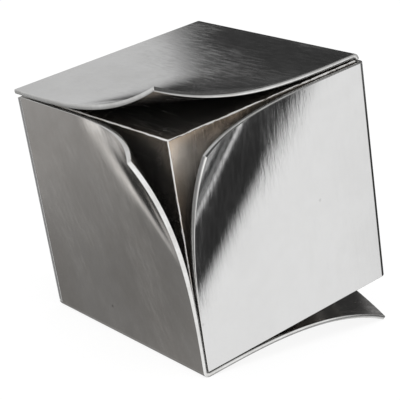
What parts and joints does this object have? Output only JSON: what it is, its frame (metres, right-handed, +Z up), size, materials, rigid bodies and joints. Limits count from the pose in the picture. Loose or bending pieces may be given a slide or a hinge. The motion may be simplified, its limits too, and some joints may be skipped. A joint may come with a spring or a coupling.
{
  "type": "sheet metal cube sculpture",
  "caption": "Tilted metal cube in folded sheet skins whose corners curl open; it stands on a folded edge and one curled corner.",
  "frame": {"origin": "middle of the bounding box, on the floor that the cube stands on", "axes": "+Z up from the floor; +X to the right along the tilted front face, towards the foot; +Y to the rear, square to the front and rear faces"},
  "size_m": [0.2156, 0.1884, 0.187],
  "materials": {
    "polished_steel": "polished, faintly stained",
    "dark_steel": "satin, heat darkened",
    "bonding_foam": "matte"
  },
  "bodies": {
    "root": {"core_top": "dark_steel", "core_bottom": "dark_steel", "core_left": "dark_steel", "core_right": "dark_steel", "core_front": "dark_steel", "core_rear": "dark_steel", "top_skin": "polished_steel", "side_skin": "polished_steel", "wrap_skin": "polished_steel", "pads_top": "bonding_foam", "pads_bottom": "bonding_foam", "pads_left": "bonding_foam", "pads_right": "bonding_foam", "pads_front": "bonding_foam", "pads_rear": "bonding_foam"}
  },
  "joints": []
}
